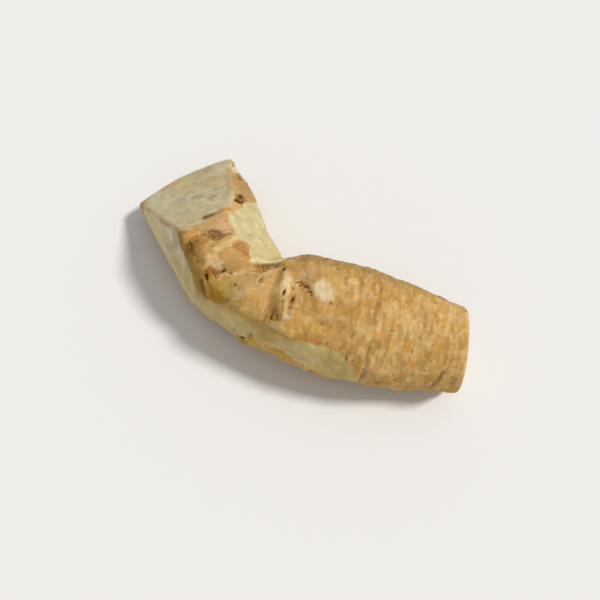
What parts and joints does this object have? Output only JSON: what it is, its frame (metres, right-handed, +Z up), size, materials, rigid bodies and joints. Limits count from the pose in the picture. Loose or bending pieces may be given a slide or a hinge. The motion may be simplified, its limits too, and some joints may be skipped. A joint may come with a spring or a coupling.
{
  "type": "horseradish root",
  "caption": "Bent piece of horseradish root, trimmed by knife at both ends and along one side, lying flat as food or table dressing.",
  "frame": {"origin": "under the middle of the root's bounding box, on the plane it rests on", "axes": "+X along the main arm to its tail end, +Z up from the surface it lies on"},
  "size_m": [0.1521, 0.0938, 0.0412],
  "materials": {
    "root": "corky tan skin with pared faces of pale cream flesh, half matte"
  },
  "bodies": {
    "root": {"horseradish_root": "root"}
  },
  "joints": []
}
